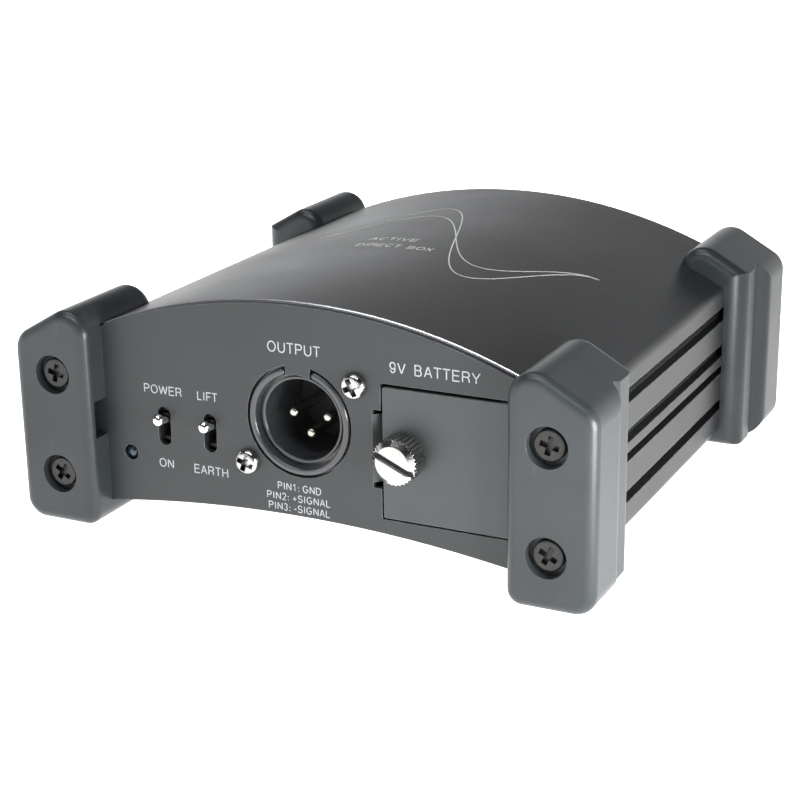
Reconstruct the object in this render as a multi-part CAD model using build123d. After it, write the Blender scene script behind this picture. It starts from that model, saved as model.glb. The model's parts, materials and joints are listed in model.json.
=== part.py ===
from build123d import *
import os
from math import cos, pi, radians, sin, tan

# An active direct injection box: an arched aluminium extrusion closed by two sheet panels and held by
# four rubber corner bumpers. Millimetres. X runs across the front, Y from front to rear, Z up.
# The origin is on the surface that the box stands on, under the middle of the box. Heights in the
# dimensions and functions below are measured from a datum just above that surface.

os.makedirs("parts", exist_ok=True)

# Overall
DATUM = 0.75                  # the datum for heights stands this far above the floor
DEPTH = 145.0                 # front bumper face to rear bumper face
BUMPER_OUTER = 72.9           # half the width over the bumpers
PANEL_RECESS = 7.3            # bumper face to panel face
PANEL = 1.6                   # panel sheet
PANEL_FACE = DEPTH / 2 - PANEL_RECESS
CASE_END = PANEL_FACE - PANEL

# Case extrusion
CASE_HALF = 65.0
CASE_TOP = 58.4
TOP_RADIUS = 137.0
CASE_BOTTOM = 8.1             # height of the hollowed underside on the centre line
BOTTOM_RADIUS = 334.0
CORNER = 2.5
SKIN = 2.0                    # thickness of the top and the underside
CAVITY_HALF = 58.5
GROOVE_DEPTH = 2.4
GROOVES = ((9.3, 12.3), (19.3, 21.6), (23.9, 27.2), (33.6, 37.3))
ARRIS = 0.45
TOP_CENTRE = CASE_TOP - TOP_RADIUS
BOTTOM_CENTRE = CASE_BOTTOM - BOTTOM_RADIUS

# Circuit board and the rails it slides in
BOARD_BOTTOM = 12.8
BOARD = 1.6
BOARD_TOP = BOARD_BOTTOM + BOARD
BOARD_HALF = CAVITY_HALF - 0.3
RAIL = 1.2
RAIL_REACH = 3.0
RAIL_PLAY = 0.1

# Bumpers
BUMPER_INNER = 52.5
BUMPER_LENGTH = 30.0
BUMPER_BLOCK = 13.0           # length of the thick front block
BUMPER_BAND = 70.4            # half width over the thinner rear band
BUMPER_SLOPE = 30.0           # fall of the top, degrees
BUMPER_SHOULDER = 44.4        # height where the sloping top meets the outer side
BUMPER_ROUND = 2.5            # rounding of the outer end
BUMPER_INNER_ROUND = 3.0      # rounding of the end that meets the case
BUMPER_SHOULDER_R = 5.5
BUMPER_POCKET = (21.0, 30.0)  # height of the pocket in the inner side

# Bumper screws
SCREW_X = 62.0
SCREW_HEIGHTS = (11.75, 36.4)
COUNTERBORE_R = 4.7
COUNTERBORE = 3.0
SCREW_HEAD_R = 3.6
SCREW_HEAD = 1.7
SCREW_SHANK_R = 1.45
SCREW_LENGTH = 18.0
SCREW_PORT_R = 1.5
SCREW_CLEAR_R = 1.8
SCREW_TURNS = {(-1, -1): (35, 12), (1, -1): (28, 14), (-1, 1): (10, 40), (1, 1): (55, 22)}

# XLR output socket
XLR_X = -0.5
XLR_Z = 31.0
XLR_HOLE_R = 13.3
XLR_COLLAR_R = 12.75
XLR_MOUTH_R = 11.1
XLR_BORE_R = 9.5
XLR_STEP = 2.6
XLR_LIP_R = 10.15             # ring that stands round the bore at the bottom of the mouth
XLR_LIP = 1.1
XLR_REACH = 0.35              # collar proud of the panel
XLR_DEPTH = 19.0              # panel face to the insert
XLR_TAB = 6.2                 # width of the key tab at the top of the panel hole
XLR_TAB_R = 10.95
XLR_FLANGE = (34.0, 28.0, 2.0)
XLR_SCREWS = ((-13.4, -11.2), (14.4, 10.5))
XLR_PIN_R = 1.2
XLR_PIN_CIRCLE = 4.4
XLR_PIN_TIP = 5.0             # panel face to the pin tips

# Toggle switches: x, and 1 at the front or -1 at the rear, where x is as seen from behind
TOGGLE_Z = 25.0
TOGGLE_SLOT = (3.4, 9.4)
TOGGLE_PIVOT = 9.0            # pivot depth behind the panel face
TOGGLE_THROW = 11.0           # degrees each side of the middle
TOGGLE_TIP = 11.6             # pivot to the centre of the round tip
TOGGLE_TIP_R = 1.5
TOGGLE_ROOT_R = 1.25
TOGGLE_AXLE_R = 0.8
TOGGLE_HUB_R = 1.7
TOGGLES = {"power": (-36.4, 1), "lift": (-24.0, 1), "pad_20": (-24.0, -1), "pad_40": (-36.4, -1)}

# Power lamp
LED_X = -46.2
LED_Z = 17.1
LED_R = 1.65
LED_HOLE_R = 1.9

# Battery door, its hinge and its thumbscrew
DOOR_LEFT = 20.4
DOOR_RIGHT = 50.7
DOOR_BOTTOM = 11.3
DOOR_TOP = 42.0
DOOR = 1.5
DOOR_GAP = 0.3
DOOR_TOP_GAP = 0.8
HINGE_X = 49.4
HINGE_Y = -62.6
BARREL_R = 1.3
HINGE_PIN_R = 0.7
HINGE_PLAY = 0.05
EAR = 1.3
OPENING_RIGHT = 52.2
THUMB_X = 26.1
THUMB_Z = 27.3
THUMB_R = 5.4
THUMB_HEAD = 6.4
THUMB_RIBS = 32
THUMB_FACE_R = 3.95           # flat of the face, inside its bevel
THUMB_BEVEL = 1.35
THUMB_SLOT = (1.5, 1.7)       # width and depth
THUMB_SHANK_R = 1.95
THUMB_TIP_Y = -59.8
THUMB_SLOT_TURN = 24.0
WASHER_R = 4.3
WASHER = 0.7
TONGUE_HOLE_R = 2.2
TONGUE_Z = (19.4, 35.3)
TONGUE_SLOT = 1.2
TONGUE_ROOT = 18.0
TONGUE_END = 29.4
TONGUE_DROP = 1.8
NUT_R = 2.9
NUT = 2.4

# Battery and its tray
BATTERY = (17.5, 46.4, 26.5)
BATTERY_X = 39.25
BATTERY_Z = 26.9
BATTERY_FRONT = -59.5
TRAY_WALL = 1.0
TRAY_PLAY = 0.3
TRAY_FRONT = -60.4

# Rear jacks
JACKS = {"input": -34.0, "link": -8.0}
JACK_Z = 27.0
JACK_BORE_R = 3.2
JACK_BUSH_R = 4.7
JACK_BUSH_REACH = 5.2
JACK_BODY = (15.0, 23.0, 15.0)
JACK_NUT = 12.7
JACK_NUT_THICK = 2.2
JACK_WASHER = (7.0, 0.5)

FRONT = -PANEL_FACE
BACK_OF_FRONT = -CASE_END

nodes = {}


# ---------------------------------------------------------------- helpers

def block(x0, x1, y0, y1, z0, z1):
    """A box between two opposite corners."""
    return Pos((x0 + x1) / 2, (y0 + y1) / 2, (z0 + z1) / 2) * Box(x1 - x0, y1 - y0, z1 - z0)


def prism_y(face, y0, y1):
    """A sketch drawn in X and Z, extruded from y0 to y1."""
    return extrude(Plane.XZ.offset(-y1) * face, amount=y1 - y0)


def disc_y(x, z, radius, y0, y1):
    """A cylinder along Y."""
    return prism_y(Pos(x, z) * Circle(radius), y0, y1)


def rod_x(y, z, radius, x0, x1):
    """A cylinder along X."""
    return Pos((x0 + x1) / 2, y, z) * Rot(0, 90, 0) * Cylinder(radius, x1 - x0)


def rod_z(x, y, radius, z0, z1):
    """A cylinder along Z."""
    return Pos(x, y, (z0 + z1) / 2) * Cylinder(radius, z1 - z0)


def wire_lead(points, radius, bend):
    """A round lead along straight runs joined by arcs."""
    path = FilletPolyline(*points, radius=bend)
    return sweep(Plane(origin=path @ 0, z_dir=path % 0) * Circle(radius), path=path)


def solids_of(*shapes):
    """Several separate solids as one node."""
    return Compound(children=[solid for shape in shapes for solid in shape.solids()])


def to_rear(shape):
    """The same piece at the other end of the box, turned half round about Z."""
    return Rot(0, 0, 180) * shape


# ---------------------------------------------------------------- case and panels

def section(half, top_radius, bottom_radius):
    """The arched section: straight sides between a domed top and a hollowed underside."""
    face = Pos(0, 30) * Rectangle(2 * half, 90)
    face &= Pos(0, TOP_CENTRE) * Circle(top_radius)
    face -= Pos(0, BOTTOM_CENTRE) * Circle(bottom_radius)
    return face


def case_envelope():
    face = section(CASE_HALF, TOP_RADIUS, BOTTOM_RADIUS)
    return fillet(face.vertices(), CORNER)


def case_shell():
    face = case_envelope() - section(CAVITY_HALF, TOP_RADIUS - SKIN, BOTTOM_RADIUS + SKIN)
    for side in (-1, 1):
        for low, high in GROOVES:
            face -= Pos(side * CASE_HALF, (low + high) / 2) * Rectangle(2 * GROOVE_DEPTH, high - low)
        for height in (BOARD_BOTTOM - RAIL / 2, BOARD_TOP + RAIL_PLAY + RAIL / 2):
            face += Pos(side * (CAVITY_HALF - RAIL_REACH / 2), height) * Rectangle(RAIL_REACH, RAIL)
    shell = prism_y(face, -CASE_END, CASE_END)
    arrises = shell.edges().filter_by(GeomType.CIRCLE)
    arrises = arrises.filter_by(lambda edge: abs(edge.radius - TOP_RADIUS) < 0.01)
    shell = chamfer(arrises, ARRIS)
    for side in (-1, 1):
        for height in SCREW_HEIGHTS:
            shell -= disc_y(side * SCREW_X, height, SCREW_PORT_R, -CASE_END, -CASE_END + SCREW_LENGTH)
            shell -= disc_y(side * SCREW_X, height, SCREW_PORT_R, CASE_END - SCREW_LENGTH, CASE_END)
    return shell


def panel_blank():
    """The panel sheet, a little inside the outline of the case, with its four screw holes."""
    face = section(CASE_HALF - 0.3, TOP_RADIUS - 0.45, BOTTOM_RADIUS + 0.1)
    face = fillet(face.vertices(), CORNER)
    for side in (-1, 1):
        for height in SCREW_HEIGHTS:
            face -= Pos(side * SCREW_X, height) * Circle(SCREW_CLEAR_R)
    return prism_y(face, FRONT, BACK_OF_FRONT)


def toggle_slot(x):
    width, height = TOGGLE_SLOT
    return prism_y(Pos(x, TOGGLE_Z) * Rot(0, 0, 90) * SlotOverall(height, width), FRONT, BACK_OF_FRONT)


def xlr_hole():
    """A round hole with a key tab hanging into it at the top."""
    tab = Pos(0, XLR_HOLE_R / 2) * Rectangle(XLR_TAB, XLR_HOLE_R) - Circle(XLR_TAB_R)
    return prism_y(Pos(XLR_X, XLR_Z) * (Circle(XLR_HOLE_R) - tab), FRONT, BACK_OF_FRONT)


def tongue():
    """The strip of the panel that steps back behind the door and takes the thumbscrew."""
    low, high = TONGUE_Z
    step = TONGUE_ROOT + 2.0
    outline = Polygon(
        (TONGUE_ROOT - 0.5, FRONT),
        (TONGUE_ROOT, FRONT),
        (step, FRONT + TONGUE_DROP),
        (TONGUE_END, FRONT + TONGUE_DROP),
        (TONGUE_END, BACK_OF_FRONT + TONGUE_DROP),
        (step - 0.5, BACK_OF_FRONT + TONGUE_DROP),
        (TONGUE_ROOT - 0.5, BACK_OF_FRONT),
        align=None,
    )
    strip = extrude(Pos(0, 0, low) * outline, amount=high - low)
    strip -= disc_y(THUMB_X, THUMB_Z, TONGUE_HOLE_R, FRONT, 0)
    return strip


def front_panel():
    panel = panel_blank()
    panel -= xlr_hole()
    for dx, dz in XLR_SCREWS:
        panel -= disc_y(XLR_X + dx, XLR_Z + dz, 1.6, FRONT, BACK_OF_FRONT)
    for x, end in TOGGLES.values():
        if end == 1:
            panel -= toggle_slot(x)
    panel -= disc_y(LED_X, LED_Z, LED_HOLE_R, FRONT, BACK_OF_FRONT)
    left = DOOR_LEFT - DOOR_GAP
    top = DOOR_TOP + DOOR_TOP_GAP
    panel -= block(left, OPENING_RIGHT, FRONT, BACK_OF_FRONT, DOOR_BOTTOM - DOOR_GAP, top)
    low, high = TONGUE_Z
    panel -= block(TONGUE_ROOT, left, FRONT, BACK_OF_FRONT, low - TONGUE_SLOT, high + TONGUE_SLOT)
    return panel + tongue()


def rear_panel():
    panel = panel_blank()
    for x, end in TOGGLES.values():
        if end == -1:
            panel -= toggle_slot(x)
    panel = to_rear(panel)
    for x in JACKS.values():
        panel -= disc_y(x, JACK_Z, JACK_BUSH_R + 0.1, CASE_END, PANEL_FACE)
    return panel


# ---------------------------------------------------------------- bumpers

def bumper_outline():
    """The front view: upright inner side, and a top that falls outwards from a rounded peak."""
    peak = BUMPER_SHOULDER + (BUMPER_OUTER - BUMPER_INNER) * tan(radians(BUMPER_SLOPE))
    corners = (
        (BUMPER_INNER, -DATUM, 3.5),
        (BUMPER_OUTER, -DATUM, 5.0),
        (BUMPER_OUTER, BUMPER_SHOULDER, BUMPER_SHOULDER_R),
        (BUMPER_INNER, peak, 6.0),
    )
    face = Polygon(*[(x, z) for x, z, _ in corners], align=None)
    for x, z, radius in corners:
        vertex = face.vertices().sort_by_distance((x, z, 0))[0]
        face = fillet(vertex, radius)
    return face


def bumper_plan():
    """The top view: a thick block, a shallow valley and a thinner band that rounds off to the case."""
    start = -DEPTH / 2
    block_end = start + BUMPER_BLOCK
    band_start = block_end + 8.0
    band_round = 4.5
    end = start + BUMPER_LENGTH
    curve_end = BUMPER_BAND - band_round
    far = BUMPER_INNER - 10
    valley = Spline(
        (BUMPER_OUTER, block_end),
        (BUMPER_OUTER - 1.0, block_end + 3.0),
        (BUMPER_BAND - 0.9, block_end + 5.4),
        (BUMPER_BAND, band_start),
        tangents=((0, 1), (0, 1)),
    )
    corner = (BUMPER_BAND - band_round * (1 - cos(pi / 4)), end - band_round * (1 - sin(pi / 4)))
    outline = [
        Line((far, start), (BUMPER_OUTER, start)),
        Line((BUMPER_OUTER, start), (BUMPER_OUTER, block_end)),
        valley,
        Line((BUMPER_BAND, band_start), (BUMPER_BAND, end - band_round)),
        ThreePointArc((BUMPER_BAND, end - band_round), corner, (curve_end, end)),
        Line((curve_end, end), (far, end)),
        Line((far, end), (far, start)),
    ]
    return make_face(outline)


def front_bumper():
    """The bumper at the front right corner, wrapped round the end of the case."""
    start = -DEPTH / 2
    shape = prism_y(bumper_outline(), start, start + BUMPER_LENGTH)
    shape = fillet(shape.faces().sort_by(Axis.Y)[0].edges(), BUMPER_ROUND)
    shape = fillet(shape.faces().sort_by(Axis.Y)[-1].edges(), BUMPER_INNER_ROUND)
    shape &= extrude(Pos(0, 0, -DATUM - 1) * bumper_plan(), amount=70)
    shape -= prism_y(case_envelope(), FRONT, 0)
    for height in SCREW_HEIGHTS:
        shape -= disc_y(SCREW_X, height, COUNTERBORE_R, start, start + COUNTERBORE)
        shape -= disc_y(SCREW_X, height, SCREW_CLEAR_R, start, FRONT)
    low, high = BUMPER_POCKET
    shape -= block(BUMPER_INNER - 1, BUMPER_INNER + 6, start + BUMPER_ROUND, FRONT, low, high)
    return shape


# ---------------------------------------------------------------- screws

def phillips_screw(head_r, head, shank_r, length, turn, dome, recess):
    """A Phillips screw along Y, head towards -Y and seated at the origin; recess is the cross's length."""
    shape = disc_y(0, 0, head_r, -head, 0)
    shape = fillet(shape.faces().sort_by(Axis.Y)[0].edges(), dome)
    shape += disc_y(0, 0, shank_r, 0, length)
    depth = 0.75 * head
    wing = Pos(0, depth / 2 - head, 0) * Box(0.3 * recess, depth, recess)
    core = Pos(0, depth / 2 - head, 0) * Rot(0, 45, 0) * Box(0.45 * recess, depth, 0.45 * recess)
    cross = wing + Rot(0, 90, 0) * wing + core
    return shape - Rot(0, turn, 0) * cross


def bumper_screws(end):
    seat = -DEPTH / 2 + COUNTERBORE
    screws = []
    for side in (-1, 1):
        for height, turn in zip(SCREW_HEIGHTS, SCREW_TURNS[(side, end)]):
            screw = phillips_screw(SCREW_HEAD_R, SCREW_HEAD, SCREW_SHANK_R, SCREW_LENGTH - 1, turn, 0.5, 4.4)
            screws.append(Pos(side * SCREW_X, seat, height) * screw)
    return solids_of(*screws)


# ---------------------------------------------------------------- XLR output socket

def xlr_shell():
    """Die-cast shell: a collar through the panel, a flange behind it and a barrel."""
    width, height, thick = XLR_FLANGE
    back = FRONT + XLR_DEPTH + 3.0
    flange = fillet((Pos(0.5, -0.35) * Rectangle(width, height)).vertices(), 4.0)
    shape = prism_y(flange, BACK_OF_FRONT, BACK_OF_FRONT + thick)
    shape += disc_y(0, 0, XLR_COLLAR_R - 0.5, BACK_OF_FRONT, back)
    key = Pos(0, XLR_COLLAR_R) * Rectangle(XLR_TAB + 0.6, 2 * XLR_COLLAR_R)
    ring = Circle(XLR_COLLAR_R) - Circle(XLR_MOUTH_R) - key
    ring = fillet(ring.vertices(), 0.78)
    collar = prism_y(ring, FRONT - XLR_REACH, BACK_OF_FRONT)
    shape += fillet(collar.faces().sort_by(Axis.Y)[0].edges(), 0.7)
    shape -= disc_y(0, 0, XLR_MOUTH_R, FRONT - XLR_REACH, FRONT + XLR_STEP)
    shape += disc_y(0, 0, XLR_LIP_R, FRONT + XLR_STEP - XLR_LIP, BACK_OF_FRONT + thick)
    shape -= disc_y(0, 0, XLR_BORE_R, FRONT, back)
    lip = shape.edges().filter_by(GeomType.CIRCLE)
    lip = lip.filter_by(lambda e: abs(e.radius - XLR_BORE_R) < 0.01)
    lip = lip.filter_by(lambda e: abs(e.arc_center.Y - FRONT - XLR_STEP + XLR_LIP) < 0.01)
    shape = fillet(lip, 0.4)
    for dx, dz in XLR_SCREWS:
        shape -= disc_y(dx, dz, 1.3, BACK_OF_FRONT, BACK_OF_FRONT + thick)
    return Pos(XLR_X, 0, XLR_Z) * shape


def pin_places():
    """The three contacts: left, right and below the axis."""
    for angle in (180, 0, 270):
        yield (
            XLR_X + XLR_PIN_CIRCLE * cos(radians(angle)),
            XLR_Z + XLR_PIN_CIRCLE * sin(radians(angle)),
        )


def xlr_insert():
    front = FRONT + XLR_DEPTH
    shape = disc_y(XLR_X, XLR_Z, XLR_BORE_R, front, front + 3.0)
    for x, z in pin_places():
        shape -= disc_y(x, z, XLR_PIN_R, front, front + 3.0)
    return shape


def xlr_pins():
    pins = []
    for x, z in pin_places():
        pin = disc_y(x, z, XLR_PIN_R, FRONT + XLR_PIN_TIP, FRONT + XLR_DEPTH + 3.0)
        pin = fillet(pin.faces().sort_by(Axis.Y)[0].edges(), 0.9)
        tail = disc_y(x, z, 0.8, FRONT + XLR_DEPTH + 3.0, FRONT + XLR_DEPTH + 6.0)
        pins.append(pin + tail)
    return solids_of(*pins)


def xlr_screws():
    screws = []
    for (dx, dz), turn in zip(XLR_SCREWS, (20, 65)):
        screw = phillips_screw(3.0, 2.1, 1.25, 8.0, turn, 1.4, 4.2)
        screws.append(Pos(XLR_X + dx, FRONT, XLR_Z + dz) * screw)
    return solids_of(*screws)


# ---------------------------------------------------------------- toggle switches

def toggle_body():
    """Switch housing round the pivot at the origin, with a slotted neck towards the panel."""
    back = 6.5
    neck_front = BACK_OF_FRONT + 0.3 - (FRONT + TOGGLE_PIVOT)
    shape = block(-4.0, 4.0, -3.0, back, -6.4, 6.4)
    shape += disc_y(0, 0, 4.1, neck_front, -3.0)
    spread = tan(radians(TOGGLE_THROW))
    reach = -neck_front + 1.0
    mouth = reach * spread + TOGGLE_TIP_R + 0.35
    fan = Polygon((0, -1.6), (0, 1.6), (-reach, mouth), (-reach, -mouth), align=None)
    shape -= Pos(-1.6, 0, 0) * extrude(Plane.YZ * fan, amount=3.2)
    shape -= rod_x(0, 0, TOGGLE_HUB_R + 0.15, -1.6, 1.6)
    shape -= rod_x(0, 0, TOGGLE_AXLE_R + 0.05, -3.1, 3.1)
    return shape


def toggle_terminals():
    """Three tinned legs from the housing down to the board."""
    drop = BOARD_TOP - TOGGLE_Z
    return [block(-0.5, 0.5, y - 0.3, y + 0.3, drop, -6.4) for y in (-1.6, 1.75, 5.1)]


def toggle_lever():
    """A tapered bat with a round end on a cross axle, thrown up."""
    profile = Polyline((0, 0), (TOGGLE_ROOT_R, 0), (TOGGLE_TIP_R, TOGGLE_TIP))
    tip = RadiusArc(profile @ 1, (0, TOGGLE_TIP + TOGGLE_TIP_R), TOGGLE_TIP_R)
    if (tip @ 0.5).X < 0.5:
        tip = RadiusArc(profile @ 1, (0, TOGGLE_TIP + TOGGLE_TIP_R), -TOGGLE_TIP_R)
    face = make_face([profile, tip, Line((0, TOGGLE_TIP + TOGGLE_TIP_R), (0, 0))])
    bat = revolve(Plane.XZ * face, axis=Axis.Z)
    shape = Rot(90, 0, 0) * bat
    shape += rod_x(0, 0, TOGGLE_HUB_R, -1.4, 1.4)
    shape += rod_x(0, 0, TOGGLE_AXLE_R, -3.0, 3.0)
    return Rot(-TOGGLE_THROW, 0, 0) * shape


def toggle_at(shape, name):
    """Puts a front-facing toggle piece in its place at the front or the rear."""
    x, end = TOGGLES[name]
    placed = Pos(x, FRONT + TOGGLE_PIVOT, TOGGLE_Z) * shape
    return placed if end == 1 else to_rear(placed)


# ---------------------------------------------------------------- power lamp

def power_led():
    lens = disc_y(LED_X, LED_Z, LED_R, FRONT - 0.1 + LED_R, BACK_OF_FRONT + 3.5)
    lens += Pos(LED_X, FRONT - 0.1 + LED_R, LED_Z) * Sphere(LED_R)
    return lens + disc_y(LED_X, LED_Z, LED_R + 0.4, BACK_OF_FRONT + 2.5, BACK_OF_FRONT + 3.5)


def power_led_leads():
    """Two legs that leave the lamp and bend down to the board."""
    legs = []
    start = BACK_OF_FRONT + 3.5
    for dx in (-0.75, 0.75):
        x = LED_X + dx
        leg = block(x - 0.25, x + 0.25, start, start + 3.0, LED_Z - 0.25, LED_Z + 0.25)
        leg += block(x - 0.25, x + 0.25, start + 2.5, start + 3.0, BOARD_TOP, LED_Z)
        legs.append(leg)
    return solids_of(*legs)


# ---------------------------------------------------------------- battery door

def battery_door():
    """A sheet door with a full-height barrel along the inside of its right edge."""
    height = DOOR_TOP - DOOR_BOTTOM
    middle = ((DOOR_LEFT + DOOR_RIGHT) / 2, (DOOR_BOTTOM + DOOR_TOP) / 2)
    sheet = fillet((Pos(*middle) * Rectangle(DOOR_RIGHT - DOOR_LEFT, height)).vertices(), 0.6)
    shape = prism_y(sheet, FRONT, FRONT + DOOR)
    outer = shape.faces().sort_by(Axis.Y)[0].edges()
    shape = chamfer(outer, 0.2)
    shape += block(HINGE_X - 1.0, HINGE_X + 1.0, FRONT + DOOR, HINGE_Y, DOOR_BOTTOM + 0.3, DOOR_TOP - 0.3)
    shape += rod_z(HINGE_X, HINGE_Y, BARREL_R, DOOR_BOTTOM + 0.3, DOOR_TOP - 0.3)
    shape -= rod_z(HINGE_X, HINGE_Y, HINGE_PIN_R + HINGE_PLAY, DOOR_BOTTOM, DOOR_TOP)
    return shape - disc_y(THUMB_X, THUMB_Z, THUMB_SHANK_R + 0.15, FRONT, FRONT + DOOR)


def hinge_ears():
    """Heights of the two bracket ears, just below and just above the barrel."""
    return ((DOOR_BOTTOM - 0.2 - EAR, DOOR_BOTTOM - 0.2), (DOOR_TOP + 0.2, DOOR_TOP + 0.2 + EAR))


def hinge_bracket():
    low, high = hinge_ears()
    shape = block(53.0, 55.0, BACK_OF_FRONT, HINGE_Y + 1.6, low[0], high[1])
    for z0, z1 in (low, high):
        ear = block(HINGE_X - 1.5, 54.0, BACK_OF_FRONT, HINGE_Y + 1.6, z0, z1)
        shape += ear
    return shape - rod_z(HINGE_X, HINGE_Y, HINGE_PIN_R, low[0], high[1])


def hinge_pin():
    low, high = hinge_ears()
    return rod_z(HINGE_X, HINGE_Y, HINGE_PIN_R, low[0], high[1])


def clinch_nut():
    seat = BACK_OF_FRONT + TONGUE_DROP
    return disc_y(THUMB_X, THUMB_Z, NUT_R, seat, seat + NUT) - disc_y(
        THUMB_X, THUMB_Z, TONGUE_HOLE_R, seat, seat + NUT
    )


def thumbscrew_washer():
    ring = disc_y(THUMB_X, THUMB_Z, WASHER_R, FRONT - 0.05 - WASHER, FRONT - 0.05)
    return ring - disc_y(THUMB_X, THUMB_Z, THUMB_SHANK_R + 0.05, FRONT - 2, FRONT)


def thumbscrew():
    """Knurled head with a broad bevel that cuts the ribs, a slotted face, and a plain shank."""
    seat = FRONT - 0.1 - WASHER
    face = seat - THUMB_HEAD
    step = pi / THUMB_RIBS
    ribs = []
    for i in range(2 * THUMB_RIBS):
        radius = THUMB_R if i % 2 else THUMB_R - 0.4
        ribs.append((radius * cos(i * step), radius * sin(i * step)))
    knurl = prism_y(Polygon(*ribs, align=None), face, seat - 0.5)
    bevel = Polygon(
        (0, face),
        (THUMB_FACE_R, face),
        (THUMB_R + 0.1, face + THUMB_BEVEL),
        (THUMB_R + 0.1, seat),
        (0, seat),
        align=None,
    )
    head = knurl & revolve(bevel, axis=Axis.Y)
    head += disc_y(0, 0, THUMB_R - 0.5, seat - 0.5, seat)
    head += disc_y(0, 0, THUMB_SHANK_R, seat, THUMB_TIP_Y)
    width, depth = THUMB_SLOT
    slot = Pos(0, face, 0) * Box(3 * THUMB_R, 2 * depth, width)
    head -= Rot(0, THUMB_SLOT_TURN, 0) * slot
    return Pos(THUMB_X, 0, THUMB_Z) * head


# ---------------------------------------------------------------- battery

def battery_tray():
    """A square sleeve open at both ends, on two feet shaped to the floor of the case."""
    width, length, height = BATTERY
    half_w = width / 2 + TRAY_PLAY
    half_h = height / 2 + TRAY_PLAY
    y1 = BATTERY_FRONT + length
    left, right = BATTERY_X - half_w, BATTERY_X + half_w
    low, high = BATTERY_Z - half_h, BATTERY_Z + half_h
    wall = TRAY_WALL
    shape = block(left - wall, right + wall, TRAY_FRONT, y1, low - wall, high + wall)
    shape -= block(left, right, TRAY_FRONT, y1, low, high)
    for y in (TRAY_FRONT + 4, y1 - 8):
        foot = block(left - wall, right + wall, y, y + 6, 5.0, low - wall)
        shape += foot - prism_y(Pos(0, BOTTOM_CENTRE) * Circle(BOTTOM_RADIUS + SKIN), y, y + 6)
    return shape


def battery():
    width, length, height = BATTERY
    x0, x1 = BATTERY_X - width / 2, BATTERY_X + width / 2
    z0, z1 = BATTERY_Z - height / 2, BATTERY_Z + height / 2
    shape = block(x0, x1, BATTERY_FRONT, BATTERY_FRONT + length, z0, z1)
    return fillet(shape.edges().filter_by(Axis.Y), 1.5)


def snap_places():
    """The two snap studs, half an inch apart."""
    return ((BATTERY_X, BATTERY_Z - 6.35), (BATTERY_X, BATTERY_Z + 6.35))


def battery_terminals():
    back = BATTERY_FRONT + BATTERY[1]
    studs = [disc_y(x, z, 2.8, back, back + 2.1) for x, z in snap_places()]
    return solids_of(*studs)


def battery_snap():
    back = BATTERY_FRONT + BATTERY[1]
    low = BATTERY_Z - 12.5
    high = BATTERY_Z + 12.5
    shape = block(BATTERY_X - 6.5, BATTERY_X + 6.5, back + 0.1, back + 4.1, low, high)
    shape = fillet(shape.edges().filter_by(Axis.Y), 3.0)
    for x, z in snap_places():
        shape -= disc_y(x, z, 2.9, back, back + 2.2)
    return shape


def battery_lead(side):
    """One lead of the snap connector, from its back round to the board."""
    back = BATTERY_FRONT + BATTERY[1] + 4.1
    x, z = BATTERY_X + side * 2.0, BATTERY_Z - 8.0
    points = (
        (x, back, z),
        (x, back + 7.0, z),
        (x - 6.0, back + 13.0, z - 1.0 + side),
        (x - 11.0, back + 15.0 + side, BOARD_TOP + 4.5),
        (x - 11.0, back + 15.0 + side, BOARD_TOP),
    )
    return wire_lead(points, 0.65, 2.0)


# ---------------------------------------------------------------- board and what it carries

def circuit_board():
    """An L-shaped board: full width at the rear, and beside the battery tray at the front."""
    front = FRONT + 4.2
    rear = CASE_END - 2.0
    tray_side = BATTERY_X - BATTERY[0] / 2 - TRAY_PLAY - TRAY_WALL - 0.5
    shape = block(-BOARD_HALF, BOARD_HALF, -2.0, rear, BOARD_BOTTOM, BOARD_TOP)
    return shape + block(-BOARD_HALF, tray_side, front, -2.0, BOARD_BOTTOM, BOARD_TOP)


def on_board(shape):
    return Pos(0, 0, BOARD_TOP) * shape


def transformer_core():
    """A laminated core: a window frame with a middle leg."""
    shape = block(-30, -8, -14, 4, 2.0, 18.0)
    for x in (-24.5, -16.0):
        shape -= block(x - 2.75, x + 2.75, -14, 4, 5.0, 15.0)
    return on_board(shape)


def transformer_winding():
    """The wound bobbin on the middle leg, with its feet on the board."""
    shape = block(-27.15, -13.35, -16, 6, 5.1, 14.9)
    core = block(-30, -8, -14, 4, 2.0, 18.0)
    for x in (-24.5, -16.0):
        core -= block(x - 2.75, x + 2.75, -14, 4, 5.0, 15.0)
    shape -= core
    for y in (-16, 4.2):
        shape += block(-26, -14, y, y + 1.8, 0, 5.2)
    return on_board(shape)


def op_amps():
    """Eight-leg chips."""
    chips = []
    for x, y in ((2, -20), (18, -20), (6, 8)):
        chip = block(x - 3.2, x + 3.2, y - 4.8, y + 4.8, 0.6, 4.0)
        for i in range(4):
            leg_y = y - 3.81 + 2.54 * i
            for side in (-1, 1):
                outer = x + side * 3.9
                chip += block(min(x, outer), max(x, outer), leg_y - 0.25, leg_y + 0.25, 2.0, 2.4)
                chip += block(outer - 0.2, outer + 0.2, leg_y - 0.25, leg_y + 0.25, 0, 2.4)
        chips.append(on_board(chip))
    return solids_of(*chips)


def electrolytic_capacitors():
    cans = []
    places = ((-46, -30, 5.0, 16.0), (-46, -16, 5.0, 16.0), (22, 24, 4.0, 12.0), (44, 10, 4.0, 12.0))
    for x, y, radius, height in places:
        can = rod_z(x, y, radius, 0, height)
        can = fillet(can.faces().sort_by(Axis.Z)[-1].edges(), 0.6)
        groove = rod_z(x, y, radius + 1, 1.6, 2.2) - rod_z(x, y, radius - 0.4, 1.6, 2.2)
        cans.append(on_board(can - groove))
    return solids_of(*cans)


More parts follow.
